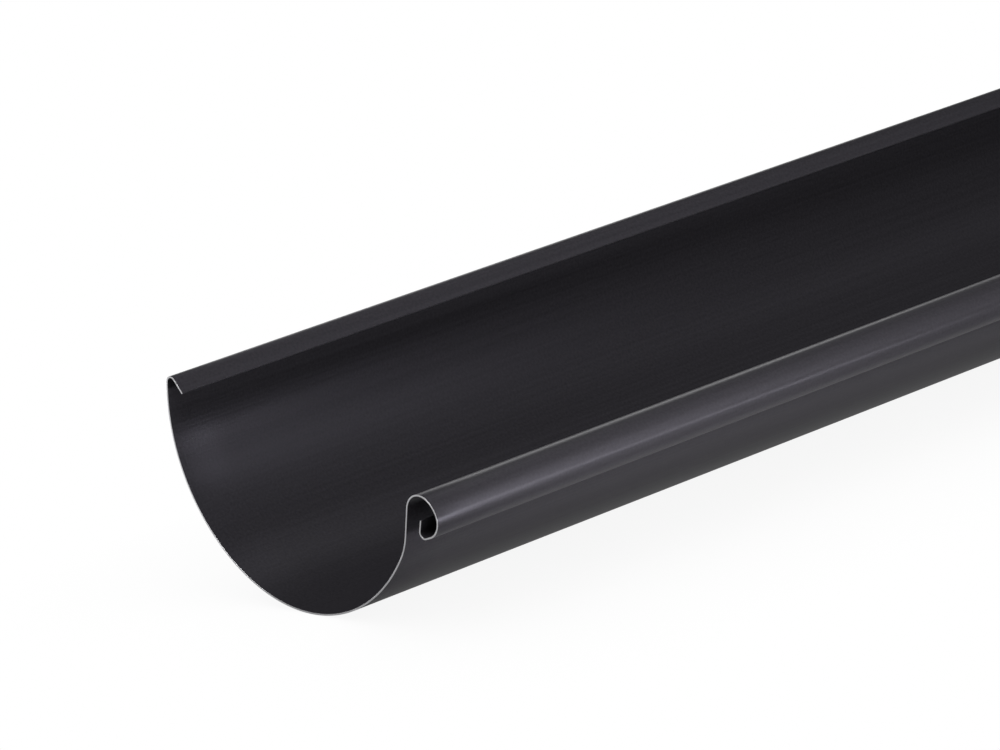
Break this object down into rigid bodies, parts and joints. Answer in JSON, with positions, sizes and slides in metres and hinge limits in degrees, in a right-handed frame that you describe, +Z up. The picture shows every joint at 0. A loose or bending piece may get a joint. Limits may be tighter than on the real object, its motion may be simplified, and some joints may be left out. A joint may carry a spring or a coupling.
{
  "type": "gutter section",
  "caption": "Half-round steel rain gutter length with a rolled front bead and a folded-in back lip, open at both ends.",
  "frame": {"origin": "point of the round back that touches the floor, straight below the trough's axis, half way along the gutter", "axes": "+X along the gutter, -Y to the front where the bead is, +Z up out of the trough's mouth as a loose length lies, rolled 11 degrees towards the bead from the level way it hangs"},
  "size_m": [2, 0.1361, 0.0795],
  "materials": {
    "coated_steel": "anthracite coil coat, satin with a fine grain, bare silvery steel at the two cut ends"
  },
  "bodies": {
    "root": {"gutter": "coated_steel"}
  },
  "joints": []
}
